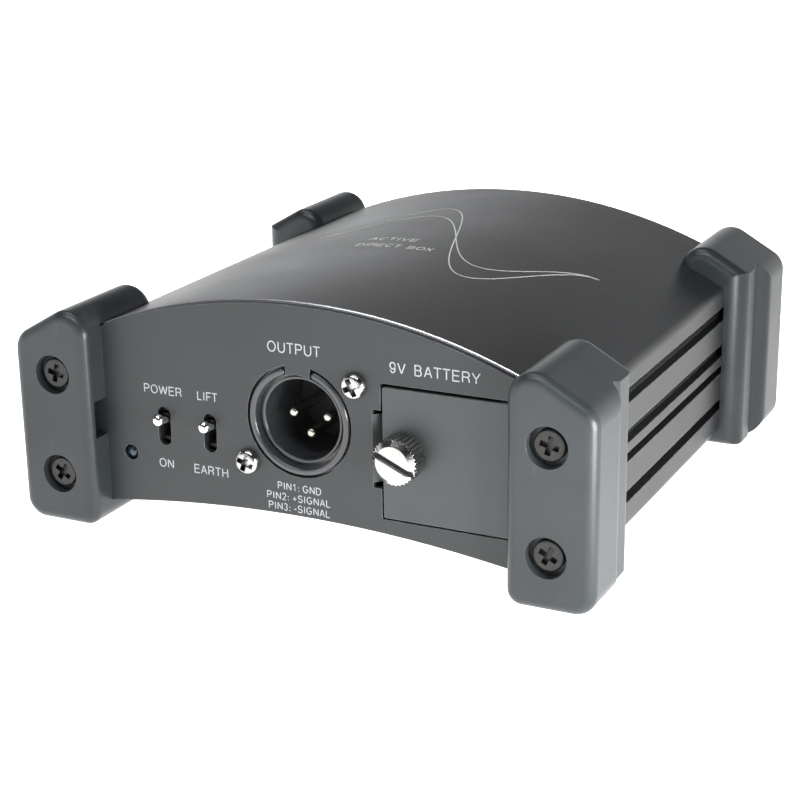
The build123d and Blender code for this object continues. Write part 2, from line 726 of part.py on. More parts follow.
def film_capacitors():
    boxes = []
    for x, y in ((-46, 4), (-46, 14), (34, 22), (48, 30)):
        box = block(x - 3.6, x + 3.6, y - 1.8, y + 1.8, 0, 8.0)
        boxes.append(on_board(fillet(box.edges().filter_by(Axis.Z), 0.5)))
    return solids_of(*boxes)


def resistors():
    """Axial resistors lying on the board in two rows."""
    bodies = []
    for row_y in (-8.0, 18.0):
        for i in range(5):
            x = -4.0 + 4.6 * i
            body = disc_y(x, 1.6, 1.1, row_y - 3.0, row_y + 3.0)
            body += disc_y(x, 1.6, 0.3, row_y - 4.6, row_y + 4.6)
            for y in (row_y - 4.6, row_y + 4.0):
                body += block(x - 0.3, x + 0.3, y, y + 0.6, 0, 1.6)
            bodies.append(on_board(body))
    return solids_of(*bodies)


def output_header():
    return on_board(block(-8.0, 8.0, -31.0, -27.0, 0, 5.0) - block(-7.0, 7.0, -30.0, -28.0, 2.0, 5.0))


def output_leads():
    """Three leads from the socket's solder tails down to the header."""
    leads = []
    start = FRONT + XLR_DEPTH + 6.0
    for i, (x, z) in enumerate(pin_places()):
        end_x = (-4.5, 4.5, 0.0)[i]
        end_y = -29.0
        points = (
            (x, start, z),
            (x, start + 4.0, z),
            (end_x, end_y, BOARD_TOP + 9.0),
            (end_x, end_y, BOARD_TOP + 2.0),
        )
        leads.append(wire_lead(points, 0.6, 1.8))
    return solids_of(*leads)


# ---------------------------------------------------------------- rear jacks

def jack_body(x):
    """A 6.35 mm jack: threaded bush through the panel and a moulded body behind it."""
    width, length, height = JACK_BODY
    inner = CASE_END
    shape = block(-width / 2, width / 2, inner - length, inner, -height / 2, height / 2)
    shape = fillet(shape.edges().filter_by(Axis.Y), 1.0)
    shape += disc_y(0, 0, JACK_BUSH_R, inner, PANEL_FACE + JACK_BUSH_REACH)
    shape -= disc_y(0, 0, JACK_BORE_R, inner - length + 1.5, PANEL_FACE + JACK_BUSH_REACH)
    for dx in (-5.5, 5.5):
        for dy in (-19.0, -11.0):
            shape += block(dx - 0.6, dx + 0.6, inner + dy, inner + dy + 1.2, BOARD_TOP - JACK_Z, -height / 2)
    return Pos(x, 0, JACK_Z) * shape


def jack_nuts():
    nuts = []
    seat = PANEL_FACE + JACK_WASHER[1]
    for x in JACKS.values():
        hexagon = RegularPolygon(JACK_NUT / 2, 6, major_radius=False) - Circle(JACK_BUSH_R)
        nuts.append(prism_y(Pos(x, JACK_Z) * hexagon, seat, seat + JACK_NUT_THICK))
    return solids_of(*nuts)


def jack_washers():
    radius, thick = JACK_WASHER
    rings = []
    for x in JACKS.values():
        ring = Circle(radius) - Circle(JACK_BUSH_R)
        rings.append(prism_y(Pos(x, JACK_Z) * ring, PANEL_FACE, PANEL_FACE + thick))
    return solids_of(*rings)


# ---------------------------------------------------------------- all nodes

nodes["case_shell"] = case_shell()
nodes["front_panel"] = front_panel()
nodes["rear_panel"] = rear_panel()

corner = front_bumper()
nodes["front_right_bumper"] = corner
nodes["front_left_bumper"] = mirror(corner, about=Plane.YZ)
nodes["rear_left_bumper"] = to_rear(corner)
nodes["rear_right_bumper"] = mirror(corner, about=Plane.XZ)
nodes["front_bumper_screws"] = bumper_screws(-1)
nodes["rear_bumper_screws"] = to_rear(bumper_screws(1))

nodes["xlr_shell"] = xlr_shell()
nodes["xlr_insert"] = xlr_insert()
nodes["xlr_pins"] = xlr_pins()
nodes["xlr_screws"] = xlr_screws()

for name in TOGGLES:
    nodes[name + "_switch"] = toggle_at(toggle_body(), name)
    nodes[name + "_lever"] = toggle_at(toggle_lever(), name)
legs = [toggle_at(leg, name) for name in TOGGLES for leg in toggle_terminals()]
nodes["switch_terminals"] = solids_of(*legs)

nodes["power_led"] = power_led()
nodes["power_led_leads"] = power_led_leads()

nodes["battery_door"] = battery_door()
nodes["door_hinge_bracket"] = hinge_bracket()
nodes["door_hinge_pin"] = hinge_pin()
nodes["clinch_nut"] = clinch_nut()
nodes["thumbscrew_washer"] = thumbscrew_washer()
nodes["thumbscrew"] = thumbscrew()

nodes["battery_tray"] = battery_tray()
nodes["battery"] = battery()
nodes["battery_terminals"] = battery_terminals()
nodes["battery_snap"] = battery_snap()
nodes["battery_lead_red"] = battery_lead(1)
nodes["battery_lead_black"] = battery_lead(-1)

nodes["circuit_board"] = circuit_board()
nodes["transformer_core"] = transformer_core()
nodes["transformer_winding"] = transformer_winding()
nodes["op_amps"] = op_amps()
nodes["electrolytic_capacitors"] = electrolytic_capacitors()
nodes["film_capacitors"] = film_capacitors()
nodes["resistors"] = resistors()
nodes["output_header"] = output_header()
nodes["output_leads"] = output_leads()

for name, x in JACKS.items():
    nodes[name + "_jack"] = jack_body(x)
nodes["jack_nuts"] = jack_nuts()
nodes["jack_washers"] = jack_washers()

for name, shape in nodes.items():
    lifted = solids_of(*[Pos(0, 0, DATUM) * solid for solid in shape.solids()])
    export_step(lifted, f"parts/{name}.step")
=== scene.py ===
import json
from math import cos, pi, radians, sin

import bmesh
import bpy
from mathutils import Matrix, Vector


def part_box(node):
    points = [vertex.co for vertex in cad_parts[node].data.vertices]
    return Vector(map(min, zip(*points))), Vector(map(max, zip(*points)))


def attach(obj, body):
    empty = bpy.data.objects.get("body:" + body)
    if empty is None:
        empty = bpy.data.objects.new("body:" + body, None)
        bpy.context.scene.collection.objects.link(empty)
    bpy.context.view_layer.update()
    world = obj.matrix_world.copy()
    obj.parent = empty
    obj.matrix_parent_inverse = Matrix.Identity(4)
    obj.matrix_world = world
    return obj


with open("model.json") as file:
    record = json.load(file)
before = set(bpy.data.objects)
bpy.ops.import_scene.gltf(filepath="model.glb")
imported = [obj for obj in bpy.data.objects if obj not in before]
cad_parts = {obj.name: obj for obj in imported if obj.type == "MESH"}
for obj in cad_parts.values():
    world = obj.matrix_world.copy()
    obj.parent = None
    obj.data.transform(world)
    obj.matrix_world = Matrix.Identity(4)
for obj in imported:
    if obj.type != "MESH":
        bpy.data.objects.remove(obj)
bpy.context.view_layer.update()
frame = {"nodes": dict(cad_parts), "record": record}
MM = 0.001

# ---------------------------------------------------------------- places read from the frame

PANEL_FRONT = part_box("front_panel")[0].y
PANEL_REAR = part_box("rear_panel")[1].y
CASE_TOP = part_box("case_shell")[1].z
SAWN_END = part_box("case_shell")[1].y
TOP_RADIUS = 137 * MM
TOP_AXIS = 59.15 * MM - TOP_RADIUS
INK = 0.03 * MM
LINE = 0.32 * MM              # width of the thin printed lines on the top


# ---------------------------------------------------------------- node materials

class Graph:
    """A material's node tree, with short calls for the nodes that this scene uses."""

    def __init__(self, name):
        self.material = bpy.data.materials.new(name)
        self.material.use_nodes = True
        self.tree = self.material.node_tree
        self.tree.nodes.clear()
        self.output = self.tree.nodes.new("ShaderNodeOutputMaterial")
        self.shader = self.tree.nodes.new("ShaderNodeBsdfPrincipled")
        self.link(self.shader.outputs["BSDF"], self.output.inputs["Surface"])
        self.place = self.tree.nodes.new("ShaderNodeTexCoord").outputs["Object"]

    def link(self, source, target):
        self.tree.links.new(source, target)

    def feed(self, socket, value):
        """Sets a socket to a value, or links it to another node's output."""
        if isinstance(value, bpy.types.NodeSocket):
            self.link(value, socket)
        else:
            socket.default_value = value

    def stretched(self, scale):
        mapping = self.tree.nodes.new("ShaderNodeMapping")
        self.link(self.place, mapping.inputs["Vector"])
        mapping.inputs["Scale"].default_value = scale
        return mapping.outputs["Vector"]

    def noise(self, scale, detail=3.0, rough=0.55, stretch=None):
        """Noise in the part's own coordinates; scale is in waves per metre."""
        node = self.tree.nodes.new("ShaderNodeTexNoise")
        self.link(self.stretched(stretch) if stretch else self.place, node.inputs["Vector"])
        node.inputs["Scale"].default_value = scale
        node.inputs["Detail"].default_value = detail
        node.inputs["Roughness"].default_value = rough
        return node.outputs["Fac"]

    def cells(self, scale, feature="F1", stretch=None):
        node = self.tree.nodes.new("ShaderNodeTexVoronoi")
        node.feature = feature
        self.link(self.stretched(stretch) if stretch else self.place, node.inputs["Vector"])
        node.inputs["Scale"].default_value = scale
        return node.outputs["Distance"]

    def spread(self, value, low, high, out_low, out_high):
        """Maps a range of one value to another, clamped."""
        node = self.tree.nodes.new("ShaderNodeMapRange")
        self.feed(node.inputs["Value"], value)
        ends = {"From Min": low, "From Max": high, "To Min": out_low, "To Max": out_high}
        for name, number in ends.items():
            node.inputs[name].default_value = number
        return node.outputs["Result"]

    def maths(self, operation, a, b=0.0):
        node = self.tree.nodes.new("ShaderNodeMath")
        node.operation = operation
        self.feed(node.inputs[0], a)
        self.feed(node.inputs[1], b)
        return node.outputs["Value"]

    def mix(self, share, a, b):
        node = self.tree.nodes.new("ShaderNodeMix")
        node.data_type = "RGBA"
        self.feed(node.inputs["Factor"], share)
        for socket, colour in zip((node.inputs[6], node.inputs[7]), (a, b)):
            self.feed(socket, colour if isinstance(colour, bpy.types.NodeSocket) else (*colour, 1.0))
        return node.outputs[2]

    def axis(self, letter):
        """One coordinate of the part's own frame, in metres."""
        node = self.tree.nodes.new("ShaderNodeSeparateXYZ")
        self.link(self.place, node.inputs["Vector"])
        return node.outputs[letter]

    def facing(self, letter):
        """One coordinate of the surface normal, in the part's own frame."""
        node = self.tree.nodes.new("ShaderNodeSeparateXYZ")
        self.link(self.tree.nodes.new("ShaderNodeTexCoord").outputs["Normal"], node.inputs["Vector"])
        return node.outputs[letter]

    def rounded(self, radius):
        """Normals that round the sharp arrises by a radius in metres."""
        node = self.tree.nodes.new("ShaderNodeBevel")
        node.samples = 4
        node.inputs["Radius"].default_value = radius
        return node.outputs["Normal"]

    def edges(self, rounded_normal, low=0.02, high=0.3):
        """1 on the rounded arrises and 0 on the faces."""
        flat = self.tree.nodes.new("ShaderNodeNewGeometry").outputs["Normal"]
        node = self.tree.nodes.new("ShaderNodeVectorMath")
        node.operation = "DOT_PRODUCT"
        self.link(rounded_normal, node.inputs[0])
        self.link(flat, node.inputs[1])
        return self.spread(self.maths("SUBTRACT", 1.0, node.outputs["Value"]), low, high, 0.0, 1.0)

    def crevice(self, distance, low=0.35, high=0.85):
        """1 deep in a recess and 0 on open faces, from ambient occlusion; it is used to paint shade into
        recesses.
        """
        node = self.tree.nodes.new("ShaderNodeAmbientOcclusion")
        node.samples = 6
        node.only_local = True
        node.inputs["Distance"].default_value = distance
        return self.spread(node.outputs["AO"], low, high, 1.0, 0.0)

    def bump(self, height, distance, strength=1.0, normal=None):
        node = self.tree.nodes.new("ShaderNodeBump")
        self.feed(node.inputs["Height"], height)
        node.inputs["Distance"].default_value = distance
        node.inputs["Strength"].default_value = strength
        if normal is not None:
            self.link(normal, node.inputs["Normal"])
        return node.outputs["Normal"]

    def finish(self, colour, rough, normal=None, metallic=0.0, **uniform):
        """Feeds the shader; uniform holds values that are the same all over the surface."""
        self.feed(self.shader.inputs["Base Color"], colour)
        self.feed(self.shader.inputs["Roughness"], rough)
        self.feed(self.shader.inputs["Metallic"], metallic)
        if normal is not None:
            self.link(normal, self.shader.inputs["Normal"])
        for name, value in uniform.items():
            self.shader.inputs[name.replace("_", " ")].default_value = value
        return self.material


def case_paint():
    """Satin black paint with faint lengthwise drawing lines, haze, dust, bare chamfers at the ends, and paler
    arrises that are partly wear and partly a painted highlight.
    """
    g = Graph("case_black")
    haze = g.noise(22, 4)
    lines = g.noise(900, 2, stretch=(1.0, 0.012, 1.0))
    speck = g.noise(2600, 2, 0.7)
    dust = g.spread(g.noise(1500, 1, 0.4), 0.715, 0.74, 0.0, 0.2)
    soft = g.rounded(0.35 * MM)
    arris = g.edges(soft)
    wear_and_painted_highlight = g.maths("MULTIPLY", arris, g.spread(g.noise(380, 4), 0.42, 0.62, 0.35, 1.0))
    colour = g.mix(g.spread(haze, 0.35, 0.65, 0.0, 1.0), (0.016, 0.017, 0.018), (0.023, 0.024, 0.025))
    colour = g.mix(dust, colour, (0.16, 0.16, 0.155))
    # Paler arrises: partly wear, partly a painted highlight along the edges.
    colour = g.mix(g.maths("MULTIPLY", wear_and_painted_highlight, 0.75), colour, (0.50, 0.51, 0.53))
    slant = g.maths("ABSOLUTE", g.facing("Y"))
    chamfer = g.maths("MULTIPLY", g.spread(slant, 0.55, 0.65, 0.0, 1.0),
                      g.spread(slant, 0.8, 0.9, 1.0, 0.0))
    along = g.maths("ABSOLUTE", g.axis("Y"))
    crest = g.spread(along, SAWN_END - 0.27 * MM, SAWN_END - 0.22 * MM, 1.0, 0.0)
    burr = g.spread(along, SAWN_END - 0.10 * MM, SAWN_END - 0.08 * MM, 0.0, 0.4)
    bare = g.maths("MULTIPLY", chamfer, g.maths("MAXIMUM", crest, burr))
    colour = g.mix(bare, colour, (0.50, 0.51, 0.54))
    rough = g.maths("ADD", g.spread(haze, 0.3, 0.7, 0.33, 0.42), g.spread(speck, 0.3, 0.7, -0.03, 0.04))
    rough = g.maths("SUBTRACT", rough, g.maths("MULTIPLY", g.maths("MAXIMUM", arris, bare), 0.18))
    height = g.maths("ADD", g.maths("MULTIPLY", lines, 0.5), speck)
    normal = g.bump(height, 0.012 * MM, 0.35, soft)
    return g.finish(colour, rough, normal, g.maths("MULTIPLY", bare, 0.6), Specular_IOR_Level=0.55)


def panel_paint(name, dark, light, rubbed):
    """Textured satin paint on a panel, a little lighter where it has been rubbed, with paler arrises that are
    partly wear and partly a painted highlight.
    """
    g = Graph(name)
    mottle = g.noise(46, 5, 0.6)
    peel = g.noise(1300, 2, 0.5)
    grit = g.noise(3800, 1, 0.5)
    rub = g.spread(g.noise(9, 2), 0.45, 0.7, 0.0, 1.0)
    soft = g.rounded(0.22 * MM)
    wear_and_painted_highlight = g.maths("MULTIPLY", g.edges(soft, 0.01, 0.15), g.spread(g.noise(520, 4), 0.4, 0.6, 0.3, 1.0))
    colour = g.mix(g.spread(mottle, 0.35, 0.65, 0.0, 1.0), dark, light)
    colour = g.mix(g.maths("MULTIPLY", rub, 0.35), colour, rubbed)
    # Paler arrises: partly wear, partly a painted highlight along the edges.
    colour = g.mix(g.maths("MULTIPLY", wear_and_painted_highlight, 0.6), colour, (0.42, 0.43, 0.45))
    rough = g.maths("ADD", g.spread(mottle, 0.3, 0.7, 0.44, 0.52), g.spread(grit, 0.3, 0.7, -0.03, 0.03))
    height = g.maths("ADD", peel, g.maths("MULTIPLY", grit, 0.5))
    return g.finish(colour, rough, g.bump(height, 0.02 * MM, 0.4, soft), 0.0, Specular_IOR_Level=0.5)


def bumper_rubber():
    """Moulded rubber: a fine spark-eroded grain, faint flow marks, bloom, scuffs, and paler arrises that are
    partly rubbing wear and partly a painted highlight.
    """
    g = Graph("bumper_rubber")
    flow = g.noise(38, 4, 0.6)
    grain = g.cells(1900)
    fine = g.noise(4200, 2, 0.6)
    bloom = g.spread(g.noise(14, 3), 0.42, 0.68, 0.0, 1.0)
    scuff = g.spread(g.noise(230, 5, 0.65, stretch=(1.0, 1.0, 0.35)), 0.62, 0.72, 0.0, 1.0)
    soft = g.rounded(0.25 * MM)
    edge = g.edges(soft, 0.01, 0.2)
    colour = g.mix(g.spread(flow, 0.35, 0.65, 0.0, 1.0), (0.0200, 0.0245, 0.0268),
                   (0.0270, 0.0322, 0.0348))
    colour = g.mix(g.maths("MULTIPLY", bloom, 0.3), colour, (0.055, 0.059, 0.061))
    colour = g.mix(g.maths("MULTIPLY", scuff, 0.16), colour, (0.10, 0.105, 0.11))
    # Paler arrises: partly rubbing wear, partly a painted highlight.
    colour = g.mix(g.maths("MULTIPLY", edge, 0.3), colour, (0.12, 0.125, 0.13))
    rough = g.maths("ADD", g.spread(flow, 0.3, 0.7, 0.29, 0.37), g.spread(fine, 0.3, 0.7, -0.04, 0.04))
    height = g.maths("ADD", g.maths("MULTIPLY", grain, -0.8), fine)
    return g.finish(colour, rough, g.bump(height, 0.03 * MM, 0.5, soft), 0.0, Specular_IOR_Level=0.38)


def plated(name, colour, tint, rough, lines=(1.0, 1.0, 1.0), wear=0.25, arris=0.08, recess_shade=0.0):
    """Plated or bare metal: fine machining lines, handling haze, dull spots and painted shade darkening its
    recesses.
    """
    g = Graph(name)
    haze = g.noise(420, 4, 0.6)
    tool = g.noise(9000, 2, 0.5, stretch=lines)
    spots = g.spread(g.noise(1500, 3, 0.6), 0.62, 0.74, 0.0, wear)
    soft = g.rounded(arris * MM)
    base = g.mix(g.spread(haze, 0.35, 0.65, 0.0, 1.0), colour, tint)
    base = g.mix(spots, base, tuple(0.55 * c for c in tint))
    gloss = g.maths("ADD", g.spread(haze, 0.3, 0.7, rough, rough + 0.07), g.maths("MULTIPLY", spots, 0.5))
    if recess_shade:
        # Painted shade: an ambient-occlusion mask darkens the recesses where shade falls, and roughens them a
        # little.
        recess_shade_share = g.maths("MULTIPLY", g.crevice(1.2 * MM), recess_shade)
        base = g.mix(recess_shade_share, base, (0.02, 0.019, 0.017))
        gloss = g.maths("ADD", gloss, g.maths("MULTIPLY", recess_shade_share, 0.4))
    return g.finish(base, gloss, g.bump(tool, 0.004 * MM, 0.3, soft), 1.0)


def moulded(name, dark, light, rough, grain=0.02, scale=2200, arris=0.12, specular=0.5, edge=0.25):
    """Moulded plastic or thin paint: a fine grain, uneven sheen and slightly paler arrises."""
    g = Graph(name)
    flow = g.noise(90, 4, 0.6)
    fine = g.noise(scale, 3, 0.6)
    soft = g.rounded(arris * MM)
    colour = g.mix(g.spread(flow, 0.35, 0.65, 0.0, 1.0), dark, light)
    paler = tuple(min(1.0, 1.6 * c + 0.03) for c in light)
    colour = g.mix(g.maths("MULTIPLY", g.edges(soft), edge), colour, paler)
    sheen = g.maths("ADD", g.spread(flow, 0.3, 0.7, rough, rough + 0.08),
                    g.spread(fine, 0.3, 0.7, -0.03, 0.03))
    return g.finish(colour, sheen, g.bump(fine, grain * MM, 0.4, soft), 0.0, Specular_IOR_Level=specular)


def screw_black():
    """Blackened screw steel, the black gone grey where the driver has slipped, paler arrises that are partly
    wear and partly a painted highlight, and painted shade darkening its cross.
    """
    g = Graph("screw_black")
    flow = g.noise(900, 4, 0.6)
    slips = g.spread(g.noise(2400, 4, 0.6, stretch=(1.0, 1.0, 0.3)), 0.5, 0.7, 0.0, 1.0)
    soft = g.rounded(0.12 * MM)
    wear_and_painted_highlight = g.maths("MAXIMUM", g.edges(soft), g.maths("MULTIPLY", slips, 0.4))
    colour = g.mix(g.spread(flow, 0.35, 0.65, 0.0, 1.0), (0.011, 0.011, 0.010), (0.020, 0.019, 0.018))
    # Grey where the driver slipped, and paler arrises that are partly wear and partly a painted highlight.
    colour = g.mix(g.maths("MULTIPLY", wear_and_painted_highlight, 0.3), colour, (0.16, 0.15, 0.14))
    # Painted shade: an ambient-occlusion mask darkens the cross recess.
    colour = g.mix(g.maths("MULTIPLY", g.crevice(1.6 * MM), 0.85), colour, (0.006, 0.006, 0.006))
    rough = g.spread(flow, 0.3, 0.7, 0.3, 0.42)
    return g.finish(colour, rough, g.bump(flow, 0.02 * MM, 0.4, soft), 0.2)


def lamp_lens():
    """The unlit lamp: a very dark blue-green dome with a clear coat."""
    g = Graph("lamp_blue")
    cloud = g.noise(700, 3)
    colour = g.mix(g.spread(cloud, 0.35, 0.65, 0.0, 1.0), (0.004, 0.014, 0.022), (0.008, 0.024, 0.036))
    rough = g.spread(cloud, 0.3, 0.7, 0.10, 0.16)
    normal = g.bump(g.noise(5000, 1), 0.004 * MM, 0.2)
    return g.finish(colour, rough, normal, 0.0, Coat_Weight=0.6, Coat_Roughness=0.06)


def board_lacquer():
    """Green solder resist with copper tracks showing through it, and a scatter of soldered holes."""
    g = Graph("board_green")
    tracks = g.spread(g.cells(210, "DISTANCE_TO_EDGE", stretch=(1.0, 0.45, 1.0)), 0.05, 0.09, 1.0, 0.0)
    holes = g.spread(g.cells(330), 0.16, 0.20, 1.0, 0.0)
    weave = g.noise(2500, 2)
    colour = g.mix(g.spread(weave, 0.4, 0.6, 0.0, 1.0), (0.010, 0.080, 0.032), (0.014, 0.100, 0.040))
    colour = g.mix(tracks, colour, (0.030, 0.19, 0.060))
    colour = g.mix(holes, colour, (0.62, 0.62, 0.60))
    metal = g.maths("MULTIPLY", holes, 0.9)
    rough = g.spread(weave, 0.3, 0.7, 0.28, 0.40)
    height = g.maths("ADD", tracks, g.maths("MULTIPLY", holes, 1.5))
    return g.finish(colour, rough, g.bump(height, 0.05 * MM, 0.5), metal)


def battery_wrap():
    """A printed steel can: a plain grey-blue label between two bare steel ends."""
    g = Graph("battery_wrap")
    low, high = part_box("battery")
    along = g.axis("Y")
    ends = g.maths("ADD", g.spread(along, low.y + 2.2 * MM, low.y + 2.4 * MM, 1.0, 0.0),
                   g.spread(along, high.y - 1.4 * MM, high.y - 1.2 * MM, 0.0, 1.0))
    stripe = g.maths("MULTIPLY", g.spread(along, low.y + 9 * MM, low.y + 9.2 * MM, 0.0, 1.0),
                     g.spread(along, low.y + 12 * MM, low.y + 12.2 * MM, 1.0, 0.0))
    scratch = g.spread(g.noise(420, 5, 0.7, stretch=(1.0, 0.1, 1.0)), 0.62, 0.68, 0.0, 0.5)
    cloud = g.noise(120, 4)
    soft = g.rounded(0.2 * MM)
    colour = g.mix(g.spread(cloud, 0.35, 0.65, 0.0, 1.0), (0.10, 0.14, 0.19), (0.12, 0.17, 0.22))
    colour = g.mix(stripe, colour, (0.62, 0.60, 0.55))
    colour = g.mix(g.maths("MAXIMUM", ends, scratch), colour, (0.56, 0.56, 0.57))
    metal = g.maths("MULTIPLY", g.maths("MAXIMUM", ends, scratch), 0.9)
    return g.finish(colour, g.spread(cloud, 0.3, 0.7, 0.26, 0.36), g.bump(cloud, 0.02 * MM, 0.3, soft), metal)


def laminated_steel():
    """The transformer core: a stack of thin varnished sheets."""
    g = Graph("core_steel")
    sheets = g.tree.nodes.new("ShaderNodeTexWave")
    sheets.bands_direction = "Y"
    sheets.inputs["Scale"].default_value = 320
    sheets.inputs["Distortion"].default_value = 0.4
    g.link(g.place, sheets.inputs["Vector"])
    cloud = g.noise(150, 4)
    colour = g.mix(sheets.outputs["Fac"], (0.10, 0.095, 0.09), (0.24, 0.235, 0.225))
    colour = g.mix(g.spread(cloud, 0.5, 0.7, 0.0, 0.5), colour, (0.16, 0.10, 0.06))
    rough = g.spread(cloud, 0.3, 0.7, 0.38, 0.55)
    return g.finish(colour, rough, g.bump(sheets.outputs["Fac"], 0.05 * MM, 0.6), 0.7)


def winding_tape():
    """Amber polyester tape over the winding, with its overlaps."""
    g = Graph("winding_tape")
    turns = g.spread(g.noise(260, 1, stretch=(0.05, 1.0, 0.05)), 0.46, 0.54, 0.0, 1.0)
    cloud = g.noise(200, 4)
    colour = g.mix(turns, (0.52, 0.34, 0.05), (0.68, 0.47, 0.09))
    rough = g.spread(cloud, 0.3, 0.7, 0.20, 0.32)
    return g.finish(colour, rough, g.bump(turns, 0.06 * MM, 0.5), 0.0, Coat_Weight=0.3)


def capacitor_sleeve():
    """Shrunk sleeve on the cans, with bare aluminium tops."""
    g = Graph("can_sleeve")
    can_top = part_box("electrolytic_capacitors")[1].z
    top = g.spread(g.axis("Z"), can_top - 0.7 * MM, can_top - 0.6 * MM, 0.0, 1.0)
    cloud = g.noise(300, 4)
    soft = g.rounded(0.15 * MM)
    colour = g.mix(g.spread(cloud, 0.35, 0.65, 0.0, 1.0), (0.012, 0.016, 0.045), (0.018, 0.024, 0.062))
    colour = g.mix(top, colour, (0.62, 0.63, 0.64))
    metal = g.maths("MULTIPLY", top, 0.9)
    return g.finish(colour, g.spread(cloud, 0.3, 0.7, 0.22, 0.34), g.bump(cloud, 0.02 * MM, 0.3, soft), metal)


def resistor_bodies():
    """Blue lacquered bodies with colour rings across them, and tinned ends."""
    g = Graph("resistor_body")
    low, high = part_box("resistors")
    along = g.axis("Y")
    half = (high.y - low.y - 26 * MM) / 2
    colour = g.mix(g.noise(800, 3), (0.10, 0.30, 0.46), (0.13, 0.36, 0.54))
    ends = None
    for middle in (low.y + half, high.y - half):
        away = g.maths("ABSOLUTE", g.maths("SUBTRACT", along, middle))
        outside = g.spread(away, 3.0 * MM, 3.05 * MM, 0.0, 1.0)
        ends = outside if ends is None else g.maths("MULTIPLY", ends, outside)
        for offset, ring in ((-2.2, (0.30, 0.10, 0.02)), (-1.1, (0.02, 0.02, 0.02)),
                             (0.0, (0.45, 0.05, 0.02)), (2.0, (0.50, 0.36, 0.08))):
            near = g.maths("ABSOLUTE", g.maths("SUBTRACT", along, middle + offset * MM))
            colour = g.mix(g.spread(near, 0.25 * MM, 0.3 * MM, 1.0, 0.0), colour, ring)
    colour = g.mix(ends, colour, (0.66, 0.65, 0.62))
    rough = g.spread(g.noise(900, 3), 0.3, 0.7, 0.24, 0.36)
    return g.finish(colour, rough, g.bump(g.noise(1200, 3), 0.02 * MM, 0.3), g.maths("MULTIPLY", ends, 0.9))


def white_ink():
    """Screen-printed ink: uneven in tone and sheen, and not quite white."""
    g = Graph("legend_ink")
    thin = g.noise(2600, 3, 0.6)
    colour = g.mix(g.spread(thin, 0.35, 0.65, 0.0, 1.0), (0.36, 0.38, 0.40), (0.44, 0.46, 0.48))
    rough = g.spread(thin, 0.3, 0.7, 0.45, 0.6)
    return g.finish(colour, rough, g.bump(thin, 0.006 * MM, 0.3), 0.0)


def fine_line_ink():
    """The thin top decoration, printed lighter than the legends."""
    g = Graph("line_ink")
    thin = g.noise(1800, 3, 0.6)
    colour = g.mix(g.spread(thin, 0.35, 0.65, 0.0, 1.0), (0.62, 0.64, 0.63), (0.76, 0.78, 0.77))
    rough = g.spread(thin, 0.3, 0.7, 0.4, 0.5)
    return g.finish(colour, rough, g.bump(thin, 0.006 * MM, 0.3), 0.0)


materials = {
    "case_black": case_paint(),
    "panel_black": panel_paint("panel_black", (0.0175, 0.0200, 0.0210), (0.0225, 0.0258, 0.0270),
                               (0.031, 0.034, 0.0355)),
    "bumper_rubber": bumper_rubber(),
    "screw_black": screw_black(),
    "socket_black": moulded("socket_black", (0.030, 0.032, 0.035), (0.042, 0.045, 0.048), 0.17,
                            grain=0.008, scale=1500, arris=0.2, specular=0.7),
    "insert_black": moulded("insert_black", (0.008, 0.008, 0.009), (0.013, 0.013, 0.014), 0.5, 0.008),
    "contact_silver": plated("contact_silver", (0.50, 0.48, 0.43), (0.42, 0.40, 0.34), 0.20),
    # The chrome screws get painted shade in their cross recesses.
    "screw_chrome": plated("screw_chrome", (0.50, 0.50, 0.49), (0.40, 0.40, 0.39), 0.10,
                           arris=0.12, recess_shade=1.0),
    "switch_black": moulded("switch_black", (0.010, 0.010, 0.011), (0.016, 0.016, 0.017), 0.42),
    "lever_chrome": plated("lever_chrome", (0.88, 0.88, 0.88), (0.80, 0.80, 0.82), 0.05, wear=0.15),
    "lamp_blue": lamp_lens(),
    "zinc_steel": plated("zinc_steel", (0.66, 0.67, 0.69), (0.56, 0.58, 0.58), 0.26, wear=0.5),
    "tray_plastic": moulded("tray_plastic", (0.020, 0.020, 0.021), (0.030, 0.030, 0.031), 0.46),
    "battery_wrap": battery_wrap(),
    "lead_red": moulded("lead_red", (0.38, 0.012, 0.010), (0.46, 0.018, 0.014), 0.34),
    "lead_black": moulded("lead_black", (0.012, 0.012, 0.012), (0.018, 0.018, 0.018), 0.36),
    "board_green": board_lacquer(),
    "core_steel": laminated_steel(),
    "winding_tape": winding_tape(),
    "chip_black": moulded("chip_black", (0.016, 0.016, 0.017), (0.024, 0.024, 0.025), 0.5),
    "can_sleeve": capacitor_sleeve(),
    "film_block": moulded("film_block", (0.36, 0.045, 0.020), (0.44, 0.060, 0.026), 0.22),
    "resistor_body": resistor_bodies(),
    "header_white": moulded("header_white", (0.70, 0.68, 0.62), (0.78, 0.76, 0.70), 0.4),
    "jack_black": moulded("jack_black", (0.014, 0.014, 0.015), (0.022, 0.022, 0.023), 0.34, 0.015),
    "nut_nickel": plated("nut_nickel", (0.74, 0.72, 0.68), (0.64, 0.62, 0.58), 0.14, wear=0.35),
}

# The door is painted from a paler batch than the panel.
door_paint = panel_paint("door_paint", (0.038, 0.0425, 0.044), (0.046, 0.0505, 0.052),
                         (0.054, 0.0585, 0.060))

for part in frame["record"]["subparts"]:
    node = frame["nodes"][part["node"]]
    finish = door_paint if part["node"] == "battery_door" else materials[part["material_slot"]]
    for place in node.material_slots:
        place.material = finish

ink = white_ink()
line_ink = fine_line_ink()


# ---------------------------------------------------------------- single-line lettering

def bow(x, y, radius_x, radius_y, start, end, steps=12):
    """Points along an elliptical arc; start and end are in degrees, anticlockwise from the right."""
    turns = [radians(start + (end - start) * i / steps) for i in range(steps + 1)]
    return [(x + radius_x * cos(turn), y + radius_y * sin(turn)) for turn in turns]


